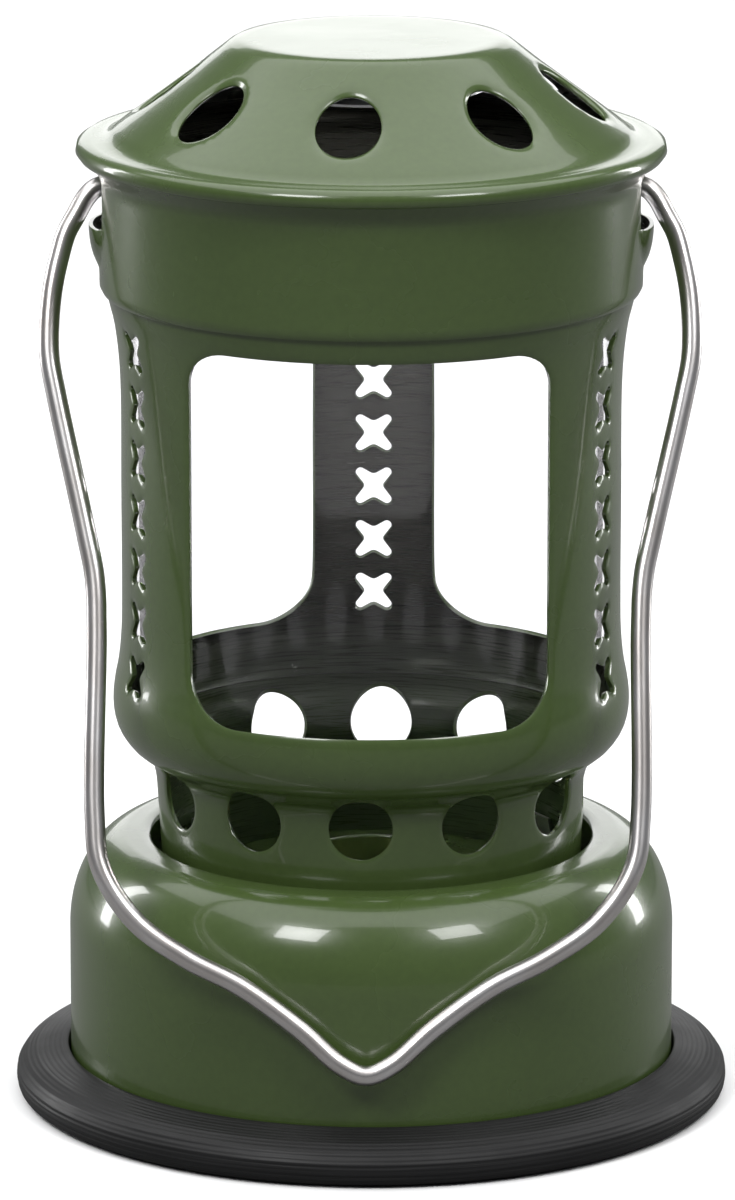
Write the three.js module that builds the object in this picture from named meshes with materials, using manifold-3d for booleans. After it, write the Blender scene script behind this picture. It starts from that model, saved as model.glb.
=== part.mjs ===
// Small table-top oil lamp: a spun sheet-steel lantern on a rubber foot ring.
// Millimetres, +Z up, origin at the centre of the foot's underside, front along -Y.
// Azimuths are in degrees, measured from the front towards +X.
import * as THREE from "three";
import { mergeVertices } from "three/addons/utils/BufferGeometryUtils.js";
import Module from "manifold-3d";

const wasm = await Module();
wasm.setup();

// ---- driving dimensions -------------------------------------------------------------------------
const SHEET = 0.7; // steel sheet of every enamelled shell
const GAP = 0.3; // clearance between neighbouring pieces
const ROUND = 36; // facets round the big turned shells
const SMALL_ROUND = 20; // facets round the small turned pieces

const FOOT = { r: 50, inner: 37, height: 6.75, ledge: 1.6 };
const BASE = { r: 42.3, wallTop: 24, domeTop: 37.1, mouth: 30.8, rimDepth: 3.4 };
const WELL = { floor: 28.7, hole: 22.3 };
const CAGE = { r: 34.7, top: 121, bottom: 29.0, yaw: -0.6 };
const WINDOW = { bottom: 59.3, top: 111.1, lowCorner: 6.5, topCorner: 5 };
const WINDOWS = [
  { azimuth: 0, half: 45.2 },
  { azimuth: 127.35, half: 37.75 },
  { azimuth: -127.35, half: 37.75 },
];
const CROSS = { perPost: 7, tip: 1.93, tipR: 0.68, waist: 1.38, crotch: 1.74 };
const POSTS = [
  { azimuth: 67.4, pitch: 7.62, first: 62.4 },
  { azimuth: -67.4, pitch: 7.62, first: 62.4 },
  { azimuth: 180, pitch: 7.75, first: 63.3 }, // the rear post's crosses stand a little higher
];
const AIR_HOLE = { count: 12, r: 4.4, z: 45.1, yaw: -2.8 };
const CAP = { top: 149.5, flat: 18.6, slope: 0.746, brim: 40.7, valley: 36.2, rollZ: 134.3, rollR: 1.35 };
const VENT = { count: 8, r: 4.4, radius: 28.05, yaw: -6.4 };
const BAND = { r: 37.5, bottom: 114.6, top: 131 };
const BAFFLE = { z: 142.2, flat: 14, rim: 16.5, legs: 3, legYaw: 30, legRadius: 15.2, legWidth: 4 };
const PRESSED = 0.6; // thinner sheet of the cap, the fount and the plated pressings
const LUG = { halfWidth: 6.6, low: 117.3, lip: 123.7, mouthTop: 130.5, reach: 1.5 };
const GLASS = { r: 33, wall: 1.6, bottom: 51.7, top: 118.5 };
const FOUNT = { r: 21.4, bottom: 7, flange: 24.2, neck: 9.35, lip: 33.9 };
const BURNER = { r: 8.3, seat: 27.9, plate: 29.2, tubeR: 2.4, tubeTop: 30.9 };
const WICK = { r: 1.4, bottom: 9, top: 31.8 };
const BAIL = { wire: 1.4, pivotZ: 127.2, tilt: 22.2, lean: 0.0058 };
const CLIP = { count: 3, width: 6, thick: 0.5, top: 35.6, rivetRadius: 25.9, hole: 1.1 };

// ---- materials ----------------------------------------------------------------------------------
const finish = (color, roughness, metalness, more = {}) =>
  new THREE.MeshStandardMaterial({ color, roughness, metalness, ...more });
const ENAMEL = 0x46563a;
const STEEL = 0xb4b2b0;
const materials = {
  enamel: () => finish(ENAMEL, 0.25, 0.1),
  rubber: () => finish(0x232325, 0.75, 0),
  wire: () => finish(STEEL, 0.35, 1),
  plate: () => finish(0x9a9c9a, 0.45, 1),
  brass: () => finish(0x8a6a34, 0.45, 1),
  cotton: () => finish(0xd8d0bc, 0.95, 0),
  glass: () => finish(0xf2f6f4, 0.05, 0, { transparent: true, opacity: 0.25 }),
};

// ---- small tools --------------------------------------------------------------------------------
const rad = THREE.MathUtils.degToRad;
const v2 = (x, y) => new THREE.Vector2(x, y);

// A closed geometry as a solid that can be joined and cut.
function solidOf(geometry) {
  const bare = geometry.clone();
  bare.deleteAttribute("normal");
  bare.deleteAttribute("uv");
  const merged = mergeVertices(bare, 1e-4);
  return new wasm.Manifold(
    new wasm.Mesh({
      numProp: 3,
      vertProperties: merged.attributes.position.array,
      triVerts: new Uint32Array(merged.index.array),
    }),
  );
}

// The solid's triangles as a flat-shaded geometry.
function geometryOf(solid) {
  const mesh = solid.getMesh();
  const geometry = new THREE.BufferGeometry();
  geometry.setAttribute("position", new THREE.BufferAttribute(mesh.vertProperties, 3));
  geometry.setIndex(new THREE.BufferAttribute(mesh.triVerts, 1));
  const flat = geometry.toNonIndexed();
  flat.computeVertexNormals();
  return flat;
}

const cutAll = (solid, cutters) => cutters.reduce((left, cutter) => left.subtract(cutter), solid);
const turns = (count, yaw = 0) => Array.from({ length: count }, (_, i) => yaw + (360 / count) * i);

// Revolves an outline of (radius, height) points, which closes on itself or ends on the axis.
function turned(outline, segments = ROUND) {
  const onAxis = (p) => Math.abs(p.x) < 1e-9;
  const closed = onAxis(outline[0]) && onAxis(outline.at(-1)) ? outline : [...outline, outline[0]];
  const upright = THREE.ShapeUtils.area(closed) > 0 ? closed : [...closed].reverse();
  return new THREE.LatheGeometry(upright, segments).rotateX(Math.PI / 2);
}

// A wall of even thickness inside an outer line: the line, then its copy moved to its left.
function sheetOutline(line, thick = SHEET) {
  const inner = line.map((point, i) => {
    const before = line[Math.max(i - 1, 0)];
    const after = line[Math.min(i + 1, line.length - 1)];
    const into = i > 0 ? point.clone().sub(before).normalize() : after.clone().sub(point).normalize();
    const out = i < line.length - 1 ? after.clone().sub(point).normalize() : into.clone();
    const mitre = into.clone().add(out).normalize();
    const reach = thick / Math.max(mitre.dot(into), 0.5);
    const moved = point.clone().add(v2(-mitre.y, mitre.x).multiplyScalar(reach));
    if (Math.abs(point.x) < 1e-9) moved.x = 0;
    return moved;
  });
  return [...line, ...inner.reverse()];
}

// Points on an arc, from one angle to another in degrees.
function arc(cx, cy, r, from, to, steps = 4, squash = 1) {
  return Array.from({ length: steps + 1 }, (_, i) => {
    const a = rad(from + ((to - from) * i) / steps);
    return v2(cx + r * Math.cos(a), cy + r * squash * Math.sin(a));
  });
}

const rectangle = (r0, z0, r1, z1) => [v2(r0, z0), v2(r1, z0), v2(r1, z1), v2(r0, z1)];

// A flat shape of (sideways, height), pushed outwards from the axis at an azimuth.
function radialPrism(shape, azimuth, height, near, far, curveSegments = 4) {
  const settings = { depth: far - near, bevelEnabled: false, curveSegments };
  const prism = new THREE.ExtrudeGeometry(shape, settings);
  prism.translate(0, 0, near).rotateX(Math.PI / 2).translate(0, 0, height).rotateZ(rad(azimuth));
  return solidOf(prism);
}

function roundPrism(r, azimuth, height, near, far) {
  const disc = new THREE.Shape().absarc(0, 0, r, 0, 2 * Math.PI);
  return radialPrism(disc, azimuth, height, near, far, 6);
}

function block(size, centre) {
  return solidOf(new THREE.BoxGeometry(...size).translate(...centre));
}

// A short upright cylinder at a radius and height, turned to an azimuth.
function punch(r, radius, height, length, azimuth, segments) {
  const pin = new THREE.CylinderGeometry(r, r, length, segments);
  return solidOf(pin.rotateX(Math.PI / 2).translate(0, -radius, height).rotateZ(rad(azimuth)));
}

// ---- foot and base ------------------------------------------------------------------------------
// Moulded ring: a thick rounded rim outside the wall, and a ledge that carries the floor plate.
function footRing() {
  const wallSide = BASE.r + GAP;
  return turned([
    v2(FOOT.inner, 0),
    v2(48.6, 0),
    v2(49.6, 0.9),
    v2(FOOT.r, 2.3),
    v2(49.8, 3.6),
    v2(48.9, 4.9),
    v2(47.2, 5.8),
    v2(wallSide + 0.6, FOOT.height),
    v2(wallSide, FOOT.height),
    v2(wallSide, FOOT.ledge),
    v2(FOOT.inner, FOOT.ledge),
  ]);
}

function floorPlate() {
  const low = FOOT.ledge + GAP;
  const line = [v2(0, low + 1.6), v2(33, low + 1.6), v2(35.5, low), v2(BASE.r - 0.2, low)];
  return turned(sheetOutline(line, PRESSED));
}

// Outside of the base from the flange at the foot up over the dome and down into its mouth.
function baseShell() {
  const flange = FOOT.ledge + 2 * GAP + PRESSED;
  const corner = BASE.domeTop - BASE.wallTop;
  const line = [
    v2(38.5, flange),
    v2(BASE.r - 0.8, flange),
    v2(BASE.r, flange + 0.8),
    v2(BASE.r, BASE.wallTop),
    ...arc(BASE.r - 8.6, BASE.wallTop, 8.6, 15, 84, 4, corner / 8.6),
    v2(BASE.mouth + 0.9, BASE.domeTop - 0.1),
    v2(BASE.mouth + 0.2, BASE.domeTop - 0.5),
    v2(BASE.mouth, BASE.domeTop - 1.2),
    v2(BASE.mouth, BASE.domeTop - BASE.rimDepth),
  ];
  return turned(sheetOutline(line));
}

// Pressed cup hung under the mouth; the cage stands on its floor and the fount hangs through it.
function baseWell() {
  const wall = BASE.mouth + 2 * SHEET + GAP;
  const line = [
    v2(WELL.hole, WELL.floor - SHEET),
    v2(wall - 0.8, WELL.floor - SHEET),
    v2(wall, WELL.floor + 0.1),
    v2(wall, BASE.domeTop - 1.6),
  ];
  const holes = turns(CLIP.count).map((a) =>
    punch(CLIP.hole, CLIP.rivetRadius, WELL.floor, 6, a, 12),
  );
  return geometryOf(cutAll(solidOf(turned(sheetOutline(line))), holes));
}

// Leaf spring: a foot on the well's floor and a bowed blade that bears on the cage's neck.
function neckClip(azimuth) {
  const foot = WELL.floor + GAP;
  const t = CLIP.thick;
  const side = new THREE.Shape([
    v2(24.6, foot),
    v2(27.7, foot),
    v2(28.2, foot + 3.2),
    v2(27.6, CLIP.top),
    v2(27.6 - t, CLIP.top),
    v2(28.2 - t, foot + 3.2),
    v2(27.7 - t, foot + t),
    v2(24.6, foot + t),
  ]);
  const strip = new THREE.ExtrudeGeometry(side, { depth: CLIP.width, bevelEnabled: false });
  strip.translate(0, 0, -CLIP.width / 2).rotateX(Math.PI / 2).rotateZ(rad(azimuth - 90));
  const hole = punch(CLIP.hole, CLIP.rivetRadius, foot, 4, azimuth, 12);
  return geometryOf(solidOf(strip).subtract(hole));
}

function clipRivet(azimuth) {
  const under = WELL.floor - SHEET - GAP;
  const over = WELL.floor + GAP + CLIP.thick + GAP;
  const outline = [
    v2(0, under - 0.6),
    v2(1.3, under - 0.6),
    v2(1.5, under),
    v2(0.8, under),
    v2(0.8, over),
    v2(1.5, over),
    v2(1.2, over + 0.6),
    v2(0, over + 0.7),
  ];
  return turned(outline, 12).translate(0, -CLIP.rivetRadius, 0).rotateZ(rad(azimuth));
}

// ---- fount and burner ---------------------------------------------------------------------------
function fountBowl() {
  const flange = WELL.floor + GAP;
  return turned(
    sheetOutline(
      [
        v2(0, FOUNT.bottom),
        v2(FOUNT.r - 2.6, FOUNT.bottom),
        v2(FOUNT.r - 0.7, FOUNT.bottom + 0.8),
        v2(FOUNT.r, FOUNT.bottom + 2.8),
        v2(FOUNT.r, flange),
        v2(FOUNT.flange, flange),
      ],
      PRESSED,
    ),
  );
}

// Lid of the fount with its raised neck; the neck's inner ledge carries the burner.
function fountTop() {
  const low = WELL.floor + 2 * GAP + PRESSED;
  const bore = FOUNT.neck - SHEET;
  return turned([
    v2(FOUNT.flange, low),
    v2(FOUNT.flange, low + 0.6),
    v2(20.5, low + 0.9),
    v2(FOUNT.neck + 1.2, low + 1.9),
    v2(FOUNT.neck + 0.1, low + 2.6),
    v2(FOUNT.neck, FOUNT.lip - 0.2),
    v2(FOUNT.neck - 0.3, FOUNT.lip),
    v2(bore, FOUNT.lip - 0.2),
    v2(bore, BURNER.seat),
    v2(bore - 1.3, BURNER.seat),
    v2(bore - 1.3, BURNER.seat - 0.6),
    v2(FOUNT.neck - 0.1, BURNER.seat - 0.6),
    v2(FOUNT.neck + 0.1, low + 0.7),
    v2(20.4, low + 0.2),
    v2(FOUNT.flange - 2, low),
  ], ROUND);
}

const burnerGasket = () =>
  turned(rectangle(7.1, BURNER.seat + GAP, BURNER.r - 0.1, BURNER.plate - GAP), SMALL_ROUND);

function burnerPlate() {
  const hole = BURNER.tubeR + GAP;
  return turned([
    v2(hole, BURNER.plate),
    v2(5.6, BURNER.plate),
    v2(5.6, BURNER.plate - 4.4),
    v2(6.3, BURNER.plate - 4.4),
    v2(6.5, BURNER.plate),
    v2(BURNER.r - 0.2, BURNER.plate),
    v2(BURNER.r, BURNER.plate + 0.4),
    v2(7.6, BURNER.plate + 0.8),
    v2(hole, BURNER.plate + 0.8),
  ], SMALL_ROUND);
}

const wickTube = () =>
  turned(rectangle(WICK.r + 0.35, 18, BURNER.tubeR, BURNER.tubeTop), SMALL_ROUND);

function wick() {
  const { r, bottom, top } = WICK;
  return turned([v2(0, bottom), v2(r, bottom), v2(r, top - 0.5), v2(r - 0.5, top), v2(0, top)], 16);
}

// ---- cage and glass -----------------------------------------------------------------------------
// Outside of the cage, from the neck's foot up over the shoulder and the posts to the flared mouth.
const cageLine = [
  v2(29.3, CAGE.bottom),
  v2(30.0, 43.5),
  v2(30.4, 47.0),
  v2(31.6, 49.0),
  v2(33.8, 50.5),
  v2(35.6, 53.6),
  v2(36.0, 56.8),
  v2(35.2, 62.2),
  v2(CAGE.r, 69),
  v2(CAGE.r, 102),
  v2(35.2, 108.2),
  v2(36.4, 114),
  v2(36.5, CAGE.top),
];

// Window outline as seen square on: straight sides and four rounded corners.
function windowShape(halfAngle) {
  const { bottom, top, lowCorner, topCorner } = WINDOW;
  const half = CAGE.r * Math.sin(rad(halfAngle));
  const shape = new THREE.Shape();
  shape.moveTo(-half + lowCorner, bottom);
  shape.absarc(half - lowCorner, bottom + lowCorner, lowCorner, -Math.PI / 2, 0);
  shape.absarc(half - topCorner, top - topCorner, topCorner, 0, Math.PI / 2);
  shape.absarc(-half + topCorner, top - topCorner, topCorner, Math.PI / 2, Math.PI);
  shape.absarc(-half + lowCorner, bottom + lowCorner, lowCorner, Math.PI, 1.5 * Math.PI);
  return shape;
}

// Four-lobed cross: a round tip on each diagonal, and notches that are shallower above and below.
function crossShape() {
  const { tip, tipR, waist, crotch } = CROSS;
  const shape = new THREE.Shape();
  shape.moveTo(waist, 0);
  for (const [sx, sy] of [[1, 1], [-1, 1], [-1, -1], [1, -1]]) {
    const lobe = [-15, 45, 105].map((a) => [
      sx * (tip + tipR * Math.cos(rad(a))),
      sy * (tip + tipR * Math.sin(rad(a))),
    ]);
    const rising = sx * sy > 0;
    for (const point of rising ? lobe : lobe.toReversed()) shape.lineTo(...point);
    shape.lineTo(rising ? 0 : sx * waist, rising ? sy * crotch : 0);
  }
  return shape;
}

function cage() {
  const far = CAGE.r + 6;
  const cutters = [];
  for (const { azimuth, half } of WINDOWS) {
    cutters.push(radialPrism(windowShape(half), azimuth, 0, 12, far, 3));
  }
  for (const { azimuth, first, pitch } of POSTS) {
    for (let i = 0; i < CROSS.perPost; i++) {
      cutters.push(radialPrism(crossShape(), azimuth, first + pitch * i, 20, far, 1));
    }
  }
  for (const azimuth of turns(AIR_HOLE.count, AIR_HOLE.yaw - CAGE.yaw)) {
    cutters.push(roundPrism(AIR_HOLE.r, azimuth, AIR_HOLE.z, 20, far));
  }
  const shell = solidOf(turned(sheetOutline(cageLine)));
  return geometryOf(cutAll(shell, cutters)).rotateZ(rad(CAGE.yaw));
}

const glassChimney = () =>
  turned(rectangle(GLASS.r - GLASS.wall, GLASS.bottom, GLASS.r, GLASS.top));

// Pressed ring in the cage's mouth that centres the top of the glass.
function chimneyRetainer() {
  const skirt = GLASS.r + GAP;
  const seat = GLASS.top + GAP;
  return turned([
    v2(skirt, seat - 3),
    v2(skirt + 0.6, seat - 3),
    v2(skirt + 0.6, seat),
    v2(35.4, seat),
    v2(35.4, seat + 0.6),
    v2(GLASS.r - GLASS.wall - 0.6, seat + 0.6),
    v2(GLASS.r - GLASS.wall - 0.6, seat),
    v2(skirt, seat),
  ]);
}

// ---- cap ----------------------------------------------------------------------------------------
const coneHeight = (r) => CAP.top - 0.5 - CAP.slope * (r - 19.1);

// Flat crown, cone, valley and brim, with the brim's edge rolled under.
function capTop() {
  const rollIn = CAP.brim - CAP.rollR;
  const line = [
    v2(0, CAP.top),
    v2(CAP.flat, CAP.top),
    v2(19.5, CAP.top - 0.35),
    v2(20.6, coneHeight(20.6)),
    v2(CAP.valley - 0.6, coneHeight(CAP.valley - 0.6)),
    v2(CAP.valley + 0.3, CAP.rollZ + CAP.rollR + 0.1),
    ...arc(rollIn, CAP.rollZ, CAP.rollR, 90, -60, 4),
  ];
  const vents = turns(VENT.count, VENT.yaw).map((a) =>
    punch(VENT.r, VENT.radius, coneHeight(VENT.radius), 30, a, 14),
  );
  return geometryOf(cutAll(solidOf(turned(sheetOutline(line.reverse(), PRESSED))), vents));
}

// Ear pressed out of the band: a quarter-dome pocket, open at its top, below the bail's slot.
function lugSolids(azimuth) {
  const depth = LUG.lip - LUG.low;
  const foot = Math.sqrt(BAND.r ** 2 - LUG.halfWidth ** 2) - 0.3;
  const reach = BAND.r + LUG.reach - foot;
  const bowl = (shrink) => {
    const ball = new THREE.SphereGeometry(1, 16, 10);
    ball.scale(LUG.halfWidth - shrink, reach - shrink, depth - shrink);
    return solidOf(ball.translate(0, -foot, LUG.lip).rotateZ(rad(azimuth)));
  };
  const above = block([200, 200, 20], [0, 0, LUG.lip + 10]);
  return { outer: bowl(0).subtract(above), inner: bowl(SHEET) };
}

function capBand() {
  const line = [
    v2(BAND.r - 0.4, BAND.bottom),
    v2(BAND.r, BAND.bottom + 0.8),
    v2(BAND.r, BAND.top - 0.5),
    v2(BAND.r + 0.35, BAND.top + 0.3),
    v2(CAP.brim - CAP.rollR + 0.05, CAP.rollZ - 0.75),
  ];
  let band = solidOf(turned(sheetOutline(line, PRESSED)));
  const core = solidOf(turned(rectangle(1, 100, BAND.r - PRESSED, 140)));
  for (const azimuth of [90, -90]) {
    const { outer, inner } = lugSolids(azimuth);
    const slot = block(
      [2 * LUG.halfWidth, 12, LUG.mouthTop - LUG.lip],
      [0, -BAND.r, (LUG.mouthTop + LUG.lip) / 2],
    ).rotate([0, 0, azimuth]);
    band = band.add(outer.subtract(core)).subtract(inner).subtract(slot);
  }
  return geometryOf(band);
}

// Heat shield under the crown: a shallow disc on three bent legs.
function heatBaffle() {
  const { z, flat, rim, legs, legYaw, legRadius, legWidth } = BAFFLE;
  const crown = CAP.top - PRESSED - GAP;
  const foot = z + PRESSED / 2;
  const line = [v2(0, z), v2(flat, z), v2(rim, z + 0.8)];
  let baffle = solidOf(turned(sheetOutline(line, PRESSED)));
  for (const azimuth of turns(legs, legYaw)) {
    const leg = block([legWidth, PRESSED, crown - foot], [0, -legRadius, (crown + foot) / 2]);
    const tab = block([legWidth, 3, PRESSED], [0, 1.2 - legRadius, crown - PRESSED / 2]);
    baffle = baffle.add(leg.add(tab).rotate([0, 0, azimuth]));
  }
  return geometryOf(baffle);
}

// ---- bail ---------------------------------------------------------------------------------------
// Half of the wire's route in its own plane: (half width, distance from the pivot line).
const bailHalf = [
  [34.9, -3.5],
  [35.0, -2.6],
  [35.7, -1.9],
  [36.8, -1.75],
  [38.1, -1.2],
  [39.3, 0.1],
  [40.6, 2.5],
  [41.9, 5.0],
  [42.75, 8.0],
  [43.7, 12.8],
  [44.1, 18.0],
  [44.0, 22.5],
  [43.0, 27.8],
  [38.7, 47.0],
  [37.5, 53.0],
  [37.15, 60.0],
  [37.15, 86.0],
  [36.2, 93.0],
  [31.5, 100.2],
  [24.5, 105.3],
  [17.0, 109.2],
  [9.0, 115.0],
  [3.4, 119.9],
];
const BAIL_APEX = 121.3;

function bail() {
  const route = [...bailHalf, [0, BAIL_APEX], ...bailHalf.toReversed().map(([h, s]) => [-h, s])];
  const points = route.map(([h, s]) => new THREE.Vector3(h - BAIL.lean * s, 0, -s));
  const curve = new THREE.CatmullRomCurve3(points, false, "centripetal");
  const section = new THREE.Shape().absarc(0, 0, BAIL.wire, 0, 2 * Math.PI);
  const settings = { steps: 80, extrudePath: curve, curveSegments: 4, bevelEnabled: false };
  const wire = new THREE.ExtrudeGeometry(section, settings);
  return wire.rotateX(rad(-BAIL.tilt)).translate(0, 0, BAIL.pivotZ);
}

// ---- the lamp -----------------------------------------------------------------------------------
const lamp = new THREE.Group();

function add(name, geometry, material) {
  const mesh = new THREE.Mesh(geometry, material());
  mesh.name = name;
  lamp.add(mesh);
}

add("rubber_foot_ring", footRing(), materials.rubber);
add("base_floor_plate", floorPlate(), materials.plate);
add("base_shell", baseShell(), materials.enamel);
add("base_well", baseWell(), materials.enamel);
turns(CLIP.count).forEach((azimuth, i) => {
  add(`neck_clip_${i + 1}`, neckClip(azimuth), materials.plate);
  add(`clip_rivet_${i + 1}`, clipRivet(azimuth), materials.plate);
});
add("fount_bowl", fountBowl(), materials.plate);
add("fount_top", fountTop(), materials.enamel);
add("burner_gasket", burnerGasket(), materials.rubber);
add("burner_plate", burnerPlate(), materials.brass);
add("wick_tube", wickTube(), materials.brass);
add("wick", wick(), materials.cotton);
add("cage", cage(), materials.enamel);
add("glass_chimney", glassChimney(), materials.glass);
add("chimney_retainer", chimneyRetainer(), materials.plate);
add("cap_top", capTop(), materials.enamel);
add("cap_band", capBand(), materials.enamel);
add("heat_baffle", heatBaffle(), materials.plate);
add("bail", bail(), materials.wire);

export default lamp;
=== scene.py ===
# %% [markdown]
# # A small table-top oil lamp
# The lamp is a spun steel lantern in green enamel. It stands on a rubber ring, hangs from a wire bail,
# and comes apart into base, fount, burner, cage, cap and bail. The imported model gives every piece its
# place, so this lesson only has to give each piece its true surface: numbers in millimetres, worked out
# with numpy and put into meshes in metres.

import bmesh
import bpy
import numpy as np
from mathutils.geometry import delaunay_2d_cdt
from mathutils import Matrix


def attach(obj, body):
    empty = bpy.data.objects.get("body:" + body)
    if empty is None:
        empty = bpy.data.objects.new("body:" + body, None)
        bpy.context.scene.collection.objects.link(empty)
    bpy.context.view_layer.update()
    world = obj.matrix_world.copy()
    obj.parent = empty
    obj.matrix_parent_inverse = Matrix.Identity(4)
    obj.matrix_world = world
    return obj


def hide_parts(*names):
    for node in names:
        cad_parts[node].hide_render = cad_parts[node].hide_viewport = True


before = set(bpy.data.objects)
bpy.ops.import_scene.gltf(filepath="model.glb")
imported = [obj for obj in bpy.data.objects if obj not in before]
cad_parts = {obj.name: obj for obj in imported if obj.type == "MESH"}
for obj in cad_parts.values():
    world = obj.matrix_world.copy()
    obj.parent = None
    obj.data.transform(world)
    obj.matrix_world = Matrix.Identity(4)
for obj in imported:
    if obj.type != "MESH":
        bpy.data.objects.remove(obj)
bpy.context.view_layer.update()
MM = 0.001

# %% [markdown]
# ## Lines
# A turned or spun part is known by its outline, and a bent wire by its route. Both start here as a few
# points. Two helpers turn them into fine lines: one eases a curve through the points, as a spinning
# roller does, and one keeps straight runs and only rounds the corners, as a press tool does. Bezier
# curve objects could do both, but numpy arrays can be measured and punched later on.

# %% Even, eased and rounded lines
def even(line, step):
    """The same line with its points set evenly along its length, about one step apart."""
    line = np.asarray(line, float)
    run = np.r_[0, np.cumsum(np.linalg.norm(np.diff(line, axis=0), axis=1))]
    marks = np.linspace(0, run[-1], max(2, round(run[-1] / step) + 1))
    return np.column_stack([np.interp(marks, run, column) for column in line.T])


def eased(points, step):
    """Centripetal Catmull-Rom curve: each span blends its four nearest points, weighted by the square
    roots of the gaps between them."""
    p = np.asarray(points, float)
    p = np.vstack([2 * p[0] - p[1], p, 2 * p[-1] - p[-2]])
    gaps = np.sqrt(np.linalg.norm(np.diff(p, axis=0), axis=1))[:, None, None]
    t1 = gaps[:-2]
    t2 = t1 + gaps[1:-1]
    t3 = t2 + gaps[2:]
    t = t1 + (t2 - t1) * np.linspace(0, 1, 24, endpoint=False)[None, :, None]
    mix = lambda m, n, low, high: ((high - t) * m + (t - low) * n) / (high - low)
    a, b, c, d = (p[i:len(p) - 3 + i, None, :] for i in range(4))
    ab, bc, cd = mix(a, b, 0, t1), mix(b, c, t1, t2), mix(c, d, t2, t3)
    curve = mix(mix(ab, bc, 0, t2), mix(bc, cd, t1, t3), t1, t2)
    return even(np.vstack([curve.reshape(-1, p.shape[1]), p[-2]]), step)


def rounded(points, radius, closed=False):
    """Straight runs, with a quadratic arc between two tangent points in place of each corner. A tangent
    point lies radius · tan(half the turn) before or after its corner."""
    p = np.asarray(points, float)
    if closed:
        p = np.vstack([(p[0] + p[-1]) / 2, p, (p[0] + p[-1]) / 2])
    into, out = p[1:-1] - p[:-2], p[2:] - p[1:-1]
    long_in, long_out = np.linalg.norm(into, axis=1), np.linalg.norm(out, axis=1)
    into, out = into / long_in[:, None], out / long_out[:, None]
    turn = np.arccos(np.clip((into * out).sum(1), -0.999, 1))
    cut = np.minimum(radius * np.tan(turn / 2), 0.48 * np.minimum(long_in, long_out))[:, None]
    s = np.linspace(0, 1, 7)[None, :, None]
    first, corner, last = (p[1:-1] - into * cut)[:, None], p[1:-1][:, None], (p[1:-1] + out * cut)[:, None]
    arcs = (1 - s) ** 2 * first + 2 * s * (1 - s) * corner + s**2 * last
    ends = (p[:1], p[-1:]) if not closed else (p[:0], p[:0])
    return np.vstack([ends[0], arcs.reshape(-1, 2), ends[1]])


def even_loop(loop, step):
    """A closed line with even points: the first point is repeated to measure it, then left out."""
    return even(np.vstack([loop, loop[:1]]), step)[:-1]


print("an eased arc through 3 points has", len(eased([[0, 0], [1, 1], [2, 0]], 0.1)), "points")

# %% [markdown]
# ## Surfaces
# A grid of points is the plainest surface: rows along the outline, columns round the axis. Blender's
# Spin or Screw tools could turn the outline too, but a grid keeps its rows, so it can also be pressed,
# braided or swept. Faces wind so that they look to the right of the outline's travel, which is outwards
# when the outline climbs on the outside.

# %% Grids into meshes
def piece_from(name, points, faces, uv=None):
    """A mesh object from millimetre points. Doubles are merged, which closes seams and poles."""
    mesh = bpy.data.meshes.new(name)
    mesh.from_pydata(np.asarray(points) * MM, [], faces)
    if uv is not None:
        layer = mesh.uv_layers.new(name="along")
        corners = np.zeros(len(mesh.loops), np.int32)
        mesh.loops.foreach_get("vertex_index", corners)
        layer.data.foreach_set("uv", np.asarray(uv, np.float32)[corners].ravel())
    work = bmesh.new()
    work.from_mesh(mesh)
    bmesh.ops.remove_doubles(work, verts=work.verts, dist=1e-7)
    bmesh.ops.dissolve_degenerate(work, edges=work.edges, dist=1e-8)
    work.to_mesh(mesh)
    work.free()
    mesh.shade_smooth()
    piece = bpy.data.objects.new(name, mesh)
    bpy.context.scene.collection.objects.link(piece)
    print(f"{name}: {len(mesh.polygons)} faces")
    return piece


def grid_piece(name, grid, wrap_rows=False):
    """A closed band of quads over a (rows, columns, 3) grid. The last column joins the first."""
    rows, columns = grid.shape[:2]
    index = np.arange(rows * columns).reshape(rows, columns)
    here = index if wrap_rows else index[:-1]
    above = np.roll(index, -1, 0) if wrap_rows else index[1:]
    faces = np.stack([here, np.roll(here, -1, 1), np.roll(above, -1, 1), above], -1).reshape(-1, 4)
    run = np.r_[0, np.cumsum(np.linalg.norm(np.diff(grid[:, 0], axis=0), axis=1))] * MM
    uv = np.stack(np.broadcast_arrays(np.linspace(0, 1, columns)[None], run[:, None]), -1).reshape(-1, 2)
    return piece_from(name, grid.reshape(-1, 3), faces, uv)


def turned(name, line, columns=180, closed=False):
    """Every (radius, height) point goes once round the axis: x = r sin a, y = -r cos a."""
    a = np.linspace(0, 2 * np.pi, columns, endpoint=False)
    r, z = np.asarray(line).T
    grid = np.stack([np.outer(r, np.sin(a)), -np.outer(r, np.cos(a)), np.outer(z, np.ones(columns))], -1)
    return grid_piece(name, grid, wrap_rows=closed)


# %% [markdown]
# ## Sheet metal
# The shells are sheet, so their outer face is drawn and a Solidify modifier gives the thickness inwards.
# A Bevel modifier then breaks the cut edges: enamel gathers there, and a real edge always catches a thin
# line of light. The inside of a shell can take a second material through Solidify's material offset.

# %% Thickness and broken edges
SHEET, PRESSED = 0.7, 0.6  # mm: the spun shells, and the cap, the band, the fount and the plate


def sheet_metal(piece, thick=SHEET, edge=0.2, inside=0):
    """Gives a shell its thickness inwards and breaks its sharp edges. Inside is a material's number."""
    wall = piece.modifiers.new("sheet", "SOLIDIFY")
    wall.thickness = thick * MM
    wall.offset = -1
    wall.material_offset = inside
    wall.use_even_offset = True
    broken = piece.modifiers.new("broken edges", "BEVEL")
    broken.width = edge * MM
    broken.segments = 3
    broken.limit_method = "ANGLE"
    broken.angle_limit = np.radians(52)
    return piece


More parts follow.
